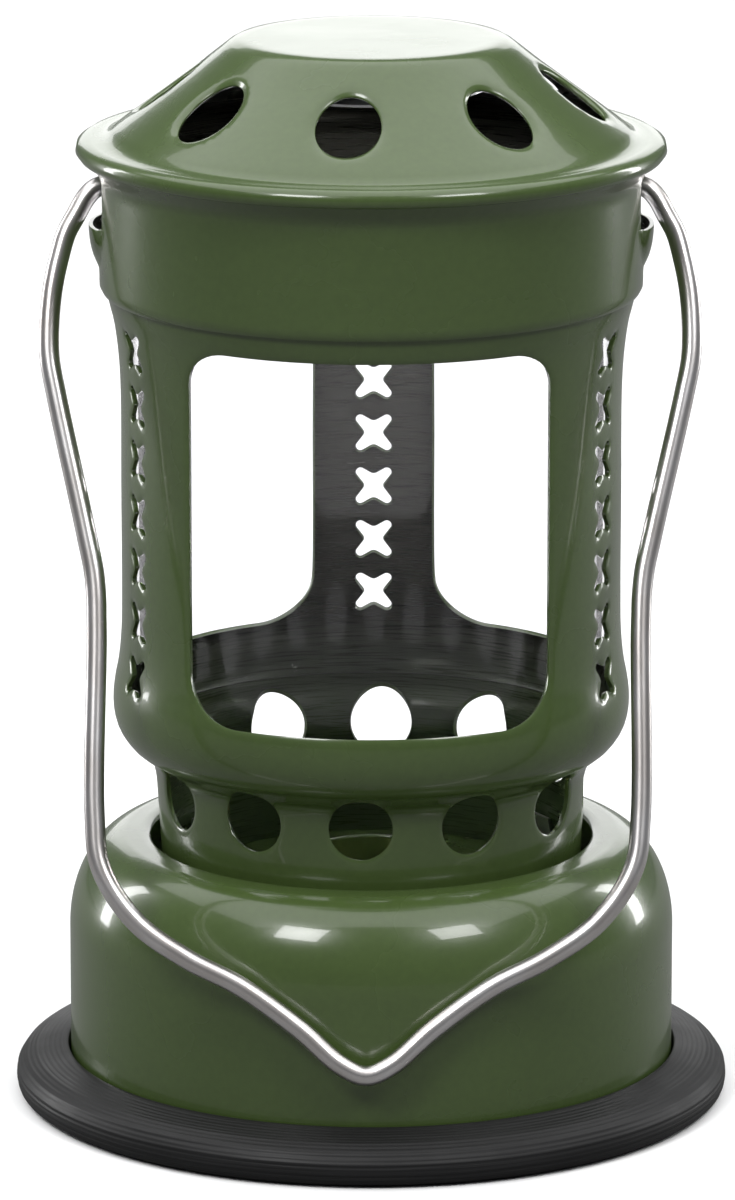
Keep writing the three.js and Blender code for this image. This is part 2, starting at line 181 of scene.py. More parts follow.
# %% [markdown]
# ## Punched sheet
# The cage, the cap and the band are turned shells with holes. A Boolean would cut them, but it leaves
# long thin triangles that show in a glossy finish. Here the holes are laid out on the shell's flat
# pattern, u being the azimuth and v the length along the outline, and a Delaunay triangulation fills
# the pattern with small even triangles. The pattern is then rolled up, and the sheet dips a little at
# each hole, as it does under a punch.

# %% Lay out, triangulate and roll up
LIP_RINGS = (0.3, 0.6, 1.0)  # rows of points kept round every hole, mm from its edge


def distance_to(points, marks):
    """Distance from each point to the nearest mark, worked out in blocks to save memory."""
    blocks = np.array_split(points, max(1, len(points) // 2000))
    return np.concatenate([np.sqrt(((b[:, None] - marks[None]) ** 2).sum(-1).min(1)) for b in blocks])


def is_inside(points, loop):
    """Even-odd rule: a line to the right of the point crosses the loop an odd number of times."""
    (x0, y0), (x1, y1) = loop.T, np.roll(loop, -1, 0).T
    x, y = points[:, :1], points[:, 1:]
    spans = (y0 > y) != (y1 > y)
    reach = x0 + (x1 - x0) * (y - y0) / np.where(y1 == y0, 1, y1 - y0)
    return (spans & (x < reach)).sum(1) % 2 == 1


def in_any(points, loops):
    """True for each point inside one of the loops. Only points in a loop's own box are tested on it."""
    found = np.zeros(len(points), bool)
    for loop in loops:
        near = np.flatnonzero(((points > loop.min(0)) & (points < loop.max(0))).all(1))
        found[near] |= is_inside(points[near], loop)
    return found


def outward(loop):
    """Unit normals of an anticlockwise loop: each neighbour-to-neighbour chord turned a quarter right."""
    chord = np.roll(loop, -1, 0) - np.roll(loop, 1, 0)
    return np.stack([chord[:, 1], -chord[:, 0]], 1) / np.linalg.norm(chord, axis=1)[:, None]


def flat_pattern(width, length, step, loops):
    """Even points outside the loops, rings round each loop, and the triangles between them."""
    across, along = round(width / step), round(length / step)
    u, v = np.meshgrid(np.linspace(0, width, across + 1), np.linspace(0, length, along + 1))
    field = np.column_stack([u.ravel(), v.ravel()])
    marks = np.vstack(loops)
    field = field[(distance_to(field, marks) > LIP_RINGS[-1] + 0.3 * step) & ~in_any(field, loops)]
    rings = np.vstack([loop + outward(loop) * d for loop in loops for d in LIP_RINGS])
    wanted = np.concatenate([np.full(len(loop), d) for loop in loops for d in LIP_RINGS])
    rings = rings[distance_to(rings, marks) > 0.93 * wanted]
    starts = np.cumsum([0] + [len(loop) for loop in loops])
    edges = [(a + i, a + (i + 1) % (b - a)) for a, b in zip(starts, starts[1:]) for i in range(b - a)]
    points = np.vstack([marks, rings, field])
    found = delaunay_2d_cdt(points.tolist(), edges, [], 0, 1e-6)
    flat, triangles = np.array(found[0]), np.array(found[2])
    triangles = triangles[~in_any(flat[triangles].mean(1), loops)]
    (ax, ay), (bx, by) = (flat[triangles[:, i]].T - flat[triangles[:, 0]].T for i in (1, 2))
    triangles[ax * by < ay * bx] = triangles[ax * by < ay * bx][:, ::-1]
    return flat, triangles, distance_to(flat, marks)


def punched(name, line, cuts, gauge, seam, step=1.1, dip=0.2, dip_width=1.0, press=None, crown=None):
    """A turned shell with holes. Cuts are closed loops of (azimuth, length along the line), and gauge is
    the radius at which the pattern keeps true width. The dip is a parabola inside dip_width of an edge."""
    line = np.asarray(line, float)
    run = np.r_[0, np.cumsum(np.linalg.norm(np.diff(line, axis=0), axis=1))]
    loops = [np.column_stack([np.mod(c[:, 0] - seam, 2 * np.pi) * gauge, c[:, 1]]) for c in cuts]
    area = [np.sum(p[:, 0] * np.roll(p[:, 1], -1) - p[:, 1] * np.roll(p[:, 0], -1)) for p in loops]
    loops = [p if size > 0 else p[::-1] for p, size in zip(loops, area)]
    flat, triangles, far = flat_pattern(2 * np.pi * gauge, run[-1], step, loops)
    r, z = (np.interp(flat[:, 1], run, column) for column in line.T)
    dr, dz = (np.interp(flat[:, 1], run, np.gradient(column, run)) for column in line.T)
    inset = dip * np.clip(1 - far / dip_width, 0, 1) ** 2
    r, z = r - inset * dz, z + inset * dr
    a = seam + flat[:, 0] / gauge
    if press is not None:
        r = press(a, r, z)
    points = np.column_stack([r * np.sin(a), -r * np.cos(a), z])
    faces = triangles.tolist()
    if crown is not None:
        rim = np.flatnonzero(flat[:, 1] > run[-1] - 1e-3)
        rim = rim[np.argsort(flat[rim, 0])].tolist()
        points = np.vstack([points, [0, 0, crown]])
        faces += [(p, q, len(points) - 1) for p, q in zip(rim, rim[1:])]
    return piece_from(name, points, faces)


def circle(radius, count=52):
    """Points at even angles, all at one distance from the middle."""
    a = np.linspace(0, 2 * np.pi, count, endpoint=False)
    return radius * np.column_stack([np.cos(a), np.sin(a)])


def square_on(shape, azimuth, line):
    """A shape of (sideways, height) as it meets the shell when pushed straight in at an azimuth."""
    run = np.r_[0, np.cumsum(np.linalg.norm(np.diff(line, axis=0), axis=1))]
    r = np.interp(shape[:, 1], line[:, 1], line[:, 0])
    return np.column_stack([azimuth + np.arcsin(shape[:, 0] / r), np.interp(shape[:, 1], line[:, 1], run)])


# %% [markdown]
# ## Shared effects
# Several finishes need the same surface effects, so each effect is one node group with its own inputs:
# a soft mottle of the colour, the fine lines that turning and brushing leave round the axis, smudges that
# change the gloss, and orange peel in a sprayed or fired coat. The groups read Object coordinates, which
# are the same for every piece here because each piece sits at the origin, unturned.

# %% A helper for nodes
def add(tree, kind, inputs=(), **settings):
    """Adds a node, sets its settings, and fills its inputs by name or number: a socket is linked."""
    made = tree.nodes.new(kind)
    for key, value in settings.items():
        setattr(made, key, value)
    for key, value in dict(inputs).items():
        if isinstance(value, bpy.types.NodeSocket):
            tree.links.new(value, made.inputs[key])
        else:
            made.inputs[key].default_value = value
    return made


def new_group(name, inputs, outputs):
    """A shader node group. Inputs are (name, kind, value), outputs (name, kind)."""
    group = bpy.data.node_groups.new(name, "ShaderNodeTree")
    for label, kind, value in inputs:
        group.interface.new_socket(label, in_out="INPUT", socket_type=kind).default_value = value
    for label, kind in outputs:
        group.interface.new_socket(label, in_out="OUTPUT", socket_type=kind)
    return group, add(group, "NodeGroupInput").outputs, add(group, "NodeGroupOutput").inputs


FLOAT, COLOUR = "NodeSocketFloat", "NodeSocketColor"


# %% Mottle: a colour that drifts a little lighter and darker
def mottle_group():
    """Colour · (1 + amount · (broad noise + fine noise - 1))."""
    group, given, out = new_group(
        "Mottle", [("Colour", COLOUR, (0.5, 0.5, 0.5, 1)), ("Amount", FLOAT, 0.1), ("Scale", FLOAT, 60.0)],
        [("Colour", COLOUR)])
    place = add(group, "ShaderNodeTexCoord").outputs["Object"]
    broad = add(group, "ShaderNodeTexNoise", {"Vector": place, "Scale": given["Scale"], "Detail": 4.0})
    fine_scale = add(group, "ShaderNodeMath", {0: given["Scale"], 1: 40.0}, operation="MULTIPLY").outputs[0]
    fine = add(group, "ShaderNodeTexNoise", {"Vector": place, "Scale": fine_scale, "Detail": 1.0})
    both = add(group, "ShaderNodeMath", {0: broad.outputs["Fac"], 1: fine.outputs["Fac"]}, operation="ADD")
    centred = add(group, "ShaderNodeMath", {0: both.outputs[0], 1: 1.0}, operation="SUBTRACT").outputs[0]
    gain = add(group, "ShaderNodeMath", {0: centred, 1: given["Amount"], 2: 1.0}, operation="MULTIPLY_ADD")
    shaded = add(group, "ShaderNodeVectorMath", {
        0: given["Colour"], "Scale": gain.outputs[0]}, operation="SCALE")
    group.links.new(shaded.outputs[0], out["Colour"])
    return group


MOTTLE = mottle_group()
print("node group:", MOTTLE.name)


# %% Turning lines: fine rings round the axis
def turning_group():
    """Noise read at (height + radius) · lines per metre, and only slowly round the axis."""
    group, given, out = new_group(
        "Turning lines", [("Lines per metre", FLOAT, 3000.0), ("Broken up", FLOAT, 2.0)], [("Lines", FLOAT)])
    place = add(group, "ShaderNodeTexCoord").outputs["Object"]
    level = add(group, "ShaderNodeVectorMath", {0: place, 1: (1, 1, 0)}, operation="MULTIPLY").outputs[0]
    radius = add(group, "ShaderNodeVectorMath", {0: level}, operation="LENGTH").outputs["Value"]
    round_it = add(group, "ShaderNodeVectorMath", {0: level}, operation="NORMALIZE").outputs[0]
    loose = add(group, "ShaderNodeVectorMath", {0: round_it, "Scale": given["Broken up"]}, operation="SCALE")
    height = add(group, "ShaderNodeSeparateXYZ", {0: place}).outputs["Z"]
    along = add(group, "ShaderNodeMath", {0: height, 1: radius}, operation="ADD").outputs[0]
    rows = add(group, "ShaderNodeMath", {
        0: along, 1: given["Lines per metre"]}, operation="MULTIPLY").outputs[0]
    climb = add(group, "ShaderNodeCombineXYZ", {"Z": rows}).outputs[0]
    where = add(group, "ShaderNodeVectorMath", {0: loose.outputs[0], 1: climb}, operation="ADD").outputs[0]
    lines = add(group, "ShaderNodeTexNoise", {"Vector": where, "Scale": 1.0, "Detail": 2.0})
    group.links.new(lines.outputs["Fac"], out["Lines"])
    return group


TURNING = turning_group()
print("node group:", TURNING.name)


# %% Smudges: patches where the gloss is a little duller
def smudge_group():
    """Noise between 0.35 and 0.7, stretched to run from Low to High."""
    group, given, out = new_group(
        "Smudges", [("Low", FLOAT, 0.2), ("High", FLOAT, 0.3), ("Scale", FLOAT, 45.0)], [("Value", FLOAT)])
    place = add(group, "ShaderNodeTexCoord").outputs["Object"]
    patch = add(group, "ShaderNodeTexNoise", {"Vector": place, "Scale": given["Scale"], "Detail": 5.0})
    spread = add(group, "ShaderNodeMapRange", {
        "Value": patch.outputs["Fac"], "From Min": 0.35, "From Max": 0.7,
        "To Min": given["Low"], "To Max": given["High"]})
    group.links.new(spread.outputs["Result"], out["Value"])
    return group


SMUDGES = smudge_group()
print("node group:", SMUDGES.name)


# %% Orange peel: the slight waviness of a thick coat
def peel_group():
    """Slow waves, plus grain · a much finer noise."""
    group, given, out = new_group(
        "Orange peel", [("Scale", FLOAT, 500.0), ("Grain", FLOAT, 0.2)], [("Height", FLOAT)])
    place = add(group, "ShaderNodeTexCoord").outputs["Object"]
    waves = add(group, "ShaderNodeTexNoise", {"Vector": place, "Scale": given["Scale"], "Detail": 1.0})
    fine = add(group, "ShaderNodeTexNoise", {"Vector": place, "Scale": 4000.0, "Detail": 0.0})
    both = add(group, "ShaderNodeMath", {
        0: fine.outputs["Fac"], 1: given["Grain"], 2: waves.outputs["Fac"]}, operation="MULTIPLY_ADD")
    group.links.new(both.outputs[0], out["Height"])
    return group


PEEL = peel_group()
print("node group:", PEEL.name)


# %% [markdown]
# ## Starting a finish
# Every finish is one Principled shader whose inputs are filled either with plain numbers or with a
# group's output. Plain numbers stay on the shader's own sockets.

# %% New material with its shader
def new_finish(name, **plain):
    """A material with one Principled shader. Plain values go straight onto its sockets."""
    material = bpy.data.materials.new(name)
    material.use_nodes = True
    tree = material.node_tree
    shader = tree.nodes["Principled BSDF"]
    for key, value in plain.items():
        shader.inputs[key.replace("_", " ")].default_value = value
    return material, tree, shader.inputs


def use(tree, group, **values):
    """Places a group in a material with its own values, and gives its outputs."""
    made = add(tree, "ShaderNodeGroup", node_tree=group)
    for key, value in values.items():
        made.inputs[key.replace("_", " ")].default_value = value
    return made.outputs


def bump(tree, into, height, strength, depth_mm):
    """Fine relief: a height from 0 to 1, its depth in millimetres, and how far the shading follows it."""
    made = add(tree, "ShaderNodeBump", {"Height": height, "Strength": strength, "Distance": depth_mm * MM})
    tree.links.new(made.outputs["Normal"], into["Normal"])


# %% [markdown]
# ## Green enamel
# The shells are steel with a thick olive-green baked coat. It is smooth and glossy with a trace of orange
# peel and a fine grain. A car-paint shader would be too lively, so a plain coloured base carries a thin
# clear coat, and the two roughnesses together give the sharp core and the soft skirt of each highlight.

# %% Green enamel
def green_enamel():
    """Mottled colour, smudged gloss and a little orange peel under a clear coat."""
    material, tree, into = new_finish("green enamel", IOR=1.48, Coat_Weight=0.5, Coat_Roughness=0.05)
    colour = use(tree, MOTTLE, Colour=(0.057, 0.092, 0.024, 1), Amount=0.22, Scale=25.0)
    tree.links.new(colour["Colour"], into["Base Color"])
    gloss = use(tree, SMUDGES, Low=0.22, High=0.31, Scale=30.0)
    tree.links.new(gloss["Value"], into["Roughness"])
    bump(tree, into, use(tree, PEEL, Scale=420.0, Grain=0.25)["Height"], 0.12, 0.12)
    return material


ENAMEL = green_enamel()
print("finish:", ENAMEL.name)

# %% [markdown]
# ## Dark inside of the shells
# Inside, the coat is thin and nearly black, and the brushed steel under it still shows: fine rings from
# brushing, and a metallic sheen that gathers the light in upright bands. Below 47 mm up the colour is
# greener, and between 47 and 60 mm the height mixes the two colours.

# %% Thin dark coat
def dark_coat():
    """Brushed lines shade the colour and the gloss, and the metal comes in between 47 and 60 mm up."""
    material, tree, into = new_finish("thin dark coat", IOR=1.45)
    lines = use(tree, TURNING, Lines_per_metre=4200.0, Broken_up=5.0)["Lines"]
    shade = add(tree, "ShaderNodeValToRGB", {"Fac": lines})
    shade.color_ramp.elements[0].position, shade.color_ramp.elements[1].position = 0.3, 0.75
    shade.color_ramp.elements[0].color = (0.020, 0.021, 0.014, 1)
    shade.color_ramp.elements[1].color = (0.046, 0.044, 0.036, 1)
    where = add(tree, "ShaderNodeTexCoord").outputs["Object"]
    height = add(tree, "ShaderNodeSeparateXYZ", {0: where}).outputs["Z"]
    thin = add(tree, "ShaderNodeMapRange", {"Value": height, "From Min": 0.047, "From Max": 0.06}).outputs[0]
    mixed = add(tree, "ShaderNodeMix", {
        0: thin, 6: (0.040, 0.060, 0.024, 1), 7: shade.outputs["Color"]}, data_type="RGBA")
    tree.links.new(mixed.outputs[2], into["Base Color"])
    steel = add(tree, "ShaderNodeMath", {0: thin, 1: 0.65}, operation="MULTIPLY").outputs[0]
    tree.links.new(steel, into["Metallic"])
    dull = add(tree, "ShaderNodeMapRange", {"Value": lines, "To Min": 0.18, "To Max": 0.4})
    tree.links.new(dull.outputs["Result"], into["Roughness"])
    bump(tree, into, lines, 0.2, 0.03)
    return material


DARK_COAT = dark_coat()
print("finish:", DARK_COAT.name)

# %% [markdown]
# ## Black rubber
# The foot ring is moulded rubber: almost black, dull, with fine turned rings from its mould and a little
# grey dust in them. The gasket in the burner is the same rubber, smoother and cleaner.

# %% Rubber
def rubber(name, shade, dust, low, high):
    """A near-black shade, with grey dust on the higher turning lines."""
    material, tree, into = new_finish(name, IOR=1.38)
    lines = use(tree, TURNING, Lines_per_metre=5200.0, Broken_up=3.0)["Lines"]
    dusty = add(tree, "ShaderNodeMapRange", {
        "Value": lines, "From Min": 0.45, "From Max": 0.8, "To Min": 0.0, "To Max": dust})
    colour = use(tree, MOTTLE, Colour=(shade, shade, shade * 1.03, 1), Amount=0.3, Scale=50.0)["Colour"]
    mixed = add(tree, "ShaderNodeMix", {
        0: dusty.outputs["Result"], 6: colour, 7: (0.16, 0.16, 0.165, 1)}, data_type="RGBA")
    tree.links.new(mixed.outputs[2], into["Base Color"])
    tree.links.new(use(tree, SMUDGES, Low=low, High=high, Scale=60.0)["Value"], into["Roughness"])
    bump(tree, into, lines, 0.6, 0.08)
    return material


RUBBER = rubber("black rubber", 0.008, 0.04, 0.45, 0.62)
GASKET_RUBBER = rubber("gasket rubber", 0.02, 0.05, 0.5, 0.6)
print("finish:", RUBBER.name, "and", GASKET_RUBBER.name)

# %% [markdown]
# ## Metals
# The bail is drawn stainless wire, and drawing leaves fine lines along it, so its pattern follows the
# wire's own UV map. The pressed inner parts are dull zinc-plated steel, and the burner is brass that heat
# has browned; its colours are darkened further, as painted shade for the dark inside of the fount's neck.
# All three are metallic with the pattern in colour and roughness.

# %% Drawn wire
def drawn_wire():
    """Noise stretched along the wire: fine lines for the gloss, and slow patches for the colour."""
    material, tree, into = new_finish("drawn stainless wire", Metallic=1.0)
    uv = add(tree, "ShaderNodeUVMap", uv_map="along").outputs["UV"]
    stretched = add(tree, "ShaderNodeMapping", {"Vector": uv, "Scale": (60.0, 45.0, 1.0)})
    lines = add(tree, "ShaderNodeTexNoise", {
        "Vector": stretched.outputs[0], "Scale": 1.0, "Detail": 4.0, "Roughness": 0.7}).outputs["Fac"]
    broad = add(tree, "ShaderNodeMapping", {"Vector": uv, "Scale": (3.0, 90.0, 1.0)})
    tint = add(tree, "ShaderNodeTexNoise", {"Vector": broad.outputs[0], "Scale": 1.0, "Detail": 2.0})
    colour = add(tree, "ShaderNodeValToRGB", {"Fac": tint.outputs["Fac"]})
    colour.color_ramp.elements[0].position, colour.color_ramp.elements[1].position = 0.35, 0.7
    colour.color_ramp.elements[0].color = (0.60, 0.565, 0.545, 1)
    colour.color_ramp.elements[1].color = (0.78, 0.765, 0.77, 1)
    tree.links.new(colour.outputs["Color"], into["Base Color"])
    dull = add(tree, "ShaderNodeMapRange", {"Value": lines, "To Min": 0.2, "To Max": 0.42})
    tree.links.new(dull.outputs["Result"], into["Roughness"])
    bump(tree, into, lines, 0.2, 0.03)
    return material


WIRE = drawn_wire()
print("finish:", WIRE.name)


# %% Plate and brass
def turned_metal(name, colour, stain, low, high):
    """A clean colour that turns to a stain in patches, with turning lines in its gloss and relief."""
    material, tree, into = new_finish(name, Metallic=1.0)
    lines = use(tree, TURNING, Lines_per_metre=3400.0, Broken_up=4.0)["Lines"]
    patches = use(tree, SMUDGES, Low=0.0, High=0.6, Scale=110.0)["Value"]
    clean = use(tree, MOTTLE, Colour=colour, Amount=0.25, Scale=80.0)["Colour"]
    mixed = add(tree, "ShaderNodeMix", {0: patches, 6: clean, 7: stain}, data_type="RGBA")
    tree.links.new(mixed.outputs[2], into["Base Color"])
    dull = add(tree, "ShaderNodeMapRange", {"Value": lines, "To Min": low, "To Max": high})
    tree.links.new(dull.outputs["Result"], into["Roughness"])
    bump(tree, into, lines, 0.2, 0.04)
    return material


PLATE = turned_metal("plated steel", (0.46, 0.47, 0.47, 1), (0.30, 0.30, 0.29, 1), 0.28, 0.5)
# The brass colours are kept very dark: partly heat browning, partly painted shade for the deep inside of the
# fount's neck.
BRASS = turned_metal("aged brass with painted shade", (0.24, 0.16, 0.065, 1), (0.09, 0.058, 0.03, 1), 0.35, 0.6)
print("finish:", PLATE.name, "and", BRASS.name)

# %% [markdown]
# ## Glass and wick
# The chimney is thin clear glass, so it is a plain transmission shader: no colour of its own, and a very
# slight ripple from drawing the tube. The wick is braided cotton, singed brown at its tip.

# %% Clear glass
def clear_glass():
    """Plain transmission, faint smudges and a slow ripple."""
    material, tree, into = new_finish(
        "clear glass", Base_Color=(0.985, 0.98, 0.995, 1), Metallic=0.0, Transmission_Weight=1.0, IOR=1.22)
    tree.links.new(use(tree, SMUDGES, Low=0.0, High=0.03, Scale=25.0)["Value"], into["Roughness"])
    bump(tree, into, use(tree, PEEL, Scale=60.0, Grain=0.0)["Height"], 0.03, 0.05)
    return material


GLASS = clear_glass()
print("finish:", GLASS.name)


# %% Braided cotton
def cotton():
    """Fibres in relief, and a singe that darkens the tip from 28.5 mm to 31.5 mm up."""
    material, tree, into = new_finish("braided cotton", Roughness=0.95, IOR=1.4)
    place = add(tree, "ShaderNodeTexCoord").outputs["Object"]
    height = add(tree, "ShaderNodeSeparateXYZ", {0: place}).outputs["Z"]
    singe = add(tree, "ShaderNodeMapRange", {"Value": height, "From Min": 0.0285, "From Max": 0.0315})
    clean = use(tree, MOTTLE, Colour=(0.66, 0.60, 0.47, 1), Amount=0.3, Scale=300.0)["Colour"]
    mixed = add(tree, "ShaderNodeMix", {
        0: singe.outputs["Result"], 6: clean, 7: (0.055, 0.035, 0.022, 1)}, data_type="RGBA")
    tree.links.new(mixed.outputs[2], into["Base Color"])
    fibres = add(tree, "ShaderNodeTexNoise", {"Vector": place, "Scale": 5000.0, "Detail": 2.0})
    bump(tree, into, fibres.outputs["Fac"], 0.5, 0.1)
    return material


COTTON = cotton()
print("finish:", COTTON.name)


# %% [markdown]
# ## Placing a piece
# Each finished piece gets its materials, rides on its body, and hides the imported node it stands for.
# One helper does all three, so that none is forgotten.

# %% Finish, ride, replace
def place(piece, body, node, slot, *materials):
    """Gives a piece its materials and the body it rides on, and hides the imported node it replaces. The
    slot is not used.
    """
    for material in materials:
        piece.data.materials.append(material)
    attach(piece, body)
    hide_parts(node)


# %% [markdown]
# ## Rubber foot ring
# The ring is a fat rounded rim with fine concentric grooves on its top and side, and a ledge inside that
# carries the floor plate. The grooves are in the outline itself, as in the mould: a small sine wave added
# along the outline's normal.

# %% Foot ring
WALL = 42.3  # outside radius of the base's upright wall


def foot_line(step=0.12, groove=0.05, pitch=0.72):
    """The ring's closed outline. Grooves: depth times (cosine of the run over the pitch, less 1) / 2."""
    corners = [(37, 0), (48.4, 0), (49.75, 0.9), (50, 2.3), (49.8, 3.6), (48.9, 4.9), (47.2, 5.8),
               (WALL + 0.95, 6.75), (WALL + 0.3, 6.75), (WALL + 0.3, 1.6), (37, 1.6)]
    line = even_loop(rounded(corners, 0.9, closed=True), step)
    run = np.arange(len(line)) * step
    chord = np.gradient(line, axis=0)
    normal = np.column_stack([chord[:, 1], -chord[:, 0]]) / np.linalg.norm(chord, axis=1)[:, None]
    depth = groove * (line[:, 0] > WALL + 1.2) * (line[:, 1] > 1.0)  # none on the seat or the underside
    return line + normal * (depth * (np.cos(2 * np.pi * run / pitch) - 1) / 2)[:, None]


foot_ring = turned("foot_ring", foot_line(), columns=240, closed=True)
place(foot_ring, "base", "rubber_foot_ring", "black_rubber", RUBBER)

# %% [markdown]
# ## Base shell, well and floor plate
# The base is spun in one piece: an in-turned flange under the floor plate, an upright wall, a dome that
# is a stretched quarter circle, and a mouth rolled down inside. The well is a pressed cup that hangs
# under the mouth. The floor plate closes it from below.

# %% Base shell
WALL_TOP, DOME_WIDE, DOME_HIGH = 24, 8.6, 13.1


def base_line():
    """The dome is a quarter of an ellipse on top of the wall: wide · cosine across, high · sine up."""
    a = np.radians(np.linspace(0, 84, 40))
    dome = np.column_stack([WALL - DOME_WIDE + DOME_WIDE * np.cos(a), WALL_TOP + DOME_HIGH * np.sin(a)])
    low = rounded([(38.5, 2.8), (WALL, 2.8), (WALL, WALL_TOP)], 0.8)
    lip = rounded([dome[-1], (32.2, 37.1), (30.8, 36.9), (30.8, 33.7)], 1.3)
    return even(np.vstack([low[:-1], dome, lip[1:]]), 0.4)


base_shell = sheet_metal(turned("enamelled_base", base_line(), columns=240), inside=1)
place(base_shell, "base", "base_shell", "green_enamel", ENAMEL, DARK_COAT)

# %% Well and floor plate
well_line = rounded([(22.3, 28.0), (32.5, 28.0), (32.5, 35.5)], 1.2)
well = sheet_metal(turned("well_cup", even(well_line, 0.5), columns=180))
place(well, "base", "base_well", "green_enamel", ENAMEL)

plate_line = rounded([(0, 3.5), (33, 3.5), (35.5, 1.9), (42.1, 1.9)], 1.0)
floor_plate = sheet_metal(turned("floor_plate", even(plate_line, 0.6), columns=180), thick=PRESSED)
place(floor_plate, "base", "base_floor_plate", "plated_steel", PLATE)

# %% [markdown]
# ## Fount and burner
# The fount is a drop-in tank of two pressings seamed at the flange. Its lid rises to a short neck with a
# bare bright lip, and the burner drops in there with its tube and braided wick. They are nearly hidden,
# but the front air hole looks straight at the neck.

# %% Fount
bowl_line = rounded([(0, 7), (18.8, 7), (20.8, 7.8), (21.4, 9.8), (21.4, 29.0), (24.2, 29.0)], 1.0)
fount_bowl = sheet_metal(turned("fount_tank", even(bowl_line, 0.5)), thick=PRESSED)
place(fount_bowl, "fount", "fount_bowl", "plated_steel", PLATE)

lid_loop = [(24.2, 29.9), (24.2, 30.5), (20.5, 30.8), (10.6, 31.75), (9.4, 32.6), (9.4, 33.9),
            (8.65, 33.9), (8.65, 27.9), (7.35, 27.9), (7.35, 27.3), (9.25, 27.3), (9.45, 30.6),
            (20.4, 30.1), (22.2, 29.9)]
fount_lid = turned("fount_lid", even_loop(rounded(lid_loop, 0.32, closed=True), 0.2), closed=True)
place(fount_lid, "fount", "fount_top", "green_enamel", ENAMEL)

# %% Burner plate, wick tube and wick
plate_loop = [(2.7, 29.2), (5.6, 29.2), (5.6, 24.8), (6.3, 24.8), (6.5, 29.2), (8.1, 29.2), (8.3, 29.6),
              (7.6, 30.0), (2.7, 30.0)]
burner_plate = turned("burner_cap", even_loop(rounded(plate_loop, 0.2, closed=True), 0.15), 120, closed=True)
place(burner_plate, "burner", "burner_plate", "aged_brass", BRASS)

tube_loop = rounded([(1.75, 18), (2.4, 18), (2.4, 30.9), (1.75, 30.9)], 0.25, closed=True)
wick_tube = turned("brass_wick_tube", even_loop(tube_loop, 0.2), 60, closed=True)
place(wick_tube, "burner", "wick_tube", "aged_brass", BRASS)


WICK_FOOT, WICK_TIP = 9, 31.8


def braided_wick(strands=4, twist=2.6):
    """A rod whose radius falls by a little where neither of two crossing spirals of strands is on top.
    A spiral is the sine of strands · azimuth plus or minus twist · height."""
    z = np.linspace(WICK_FOOT, WICK_TIP, 320)[:, None]
    a = np.linspace(0, 2 * np.pi, 72, endpoint=False)[None]
    on_top = np.maximum(np.abs(np.sin(strands * a + twist * z)), np.abs(np.sin(strands * a - twist * z)))
    close = np.sqrt(np.clip((WICK_TIP - z) / 0.5, 0, 1)) * np.sqrt(np.clip((z - WICK_FOOT) / 0.3, 0, 1))
    r = (1.25 + 0.15 * on_top) * close
    return grid_piece("braided_wick", np.stack([r * np.sin(a), -r * np.cos(a), z + 0 * a], -1))


wick = braided_wick()
place(wick, "wick", "wick", "woven_wick", COTTON)

# %% [markdown]
# ## Cage
# The cage is one spun and punched shell. Its outline goes from the neck that stands in the base, over the
# crease and the swollen shoulder, up the posts, and out to the flared mouth. Three windows leave three
# posts, and the front window is wider than the two behind it. Each post has seven four-lobed crosses, and
# the neck has a ring of air holes. All of it is cut in the flat pattern.

# %% The cage's outline and its cutters
CAGE_RADIUS = 34.7
CAGE_YAW, AIR_YAW = np.radians(-0.6), np.radians(-2.8)
WINDOWS = [(0, 45.2), (127.35, 37.75), (-127.35, 37.75)]  # azimuth and half angle, degrees
WINDOW_LOW, WINDOW_HIGH = 59.3, 111.1
POSTS = [(67.4, 62.4, 7.62), (-67.4, 62.4, 7.62), (180, 63.3, 7.75)]  # azimuth, lowest cross, pitch
CROSSES_PER_POST = 7
AIR_HOLES, AIR_HOLE_RADIUS, AIR_HOLE_HEIGHT = 12, 4.4, 45.1
cage_line = eased([
    (29.3, 29), (29.5, 37), (30.0, 43.5), (30.3, 46.6), (30.75, 48), (31.8, 49.1), (33.6, 50.4),
    (35.1, 52.4), (35.8, 54.4), (36.0, 56.8), (35.75, 59.3), (35.2, 62.2), (34.8, 66.5), (34.7, 72),
    (34.7, 86), (34.7, 101), (35.0, 106.2), (35.6, 110.6), (36.3, 113.4), (36.5, 115.5), (36.5, 121)], 0.25)


def quarter(x, z, r, start):
    """A quarter circle about (x, z), beginning at an angle in degrees."""
    a = np.radians(np.linspace(start, start + 90, 13))
    return np.column_stack([x + r * np.cos(a), z + r * np.sin(a)])


def window_shape(half_angle):
    """A rectangle with rounder corners below: straight sides and four quarter circles. Half its width is
    the cage's radius times the sine of its half angle."""
    half = CAGE_RADIUS * np.sin(np.radians(half_angle))
    below, above = 6.5, 5  # radii of the lower and upper corners
    loop = np.vstack([
        quarter(half - below, WINDOW_LOW + below, below, -90),
        quarter(half - above, WINDOW_HIGH - above, above, 0),
        quarter(-half + above, WINDOW_HIGH - above, above, 90),
        quarter(-half + below, WINDOW_LOW + below, below, 180)])
    return even_loop(loop, 0.8)


def cross_shape():
    """Four round tips on the diagonals, joined through a shallow notch on each axis. The notches above
    and below are the shallower ones."""
    a = np.radians(np.linspace(-58, 58, 9) + 45)
    tip = 1.93 + 0.68 * np.column_stack([np.cos(a), np.sin(a)])
    upper = [[0.35, 1.8], [0, 1.72], [-0.35, 1.8]]
    half = np.vstack([[[1.36, 0], [1.46, 0.32]], tip, upper, tip[::-1] * (-1, 1), [[-1.46, 0.32]]])
    return even_loop(np.vstack([half, -half]), 0.3)


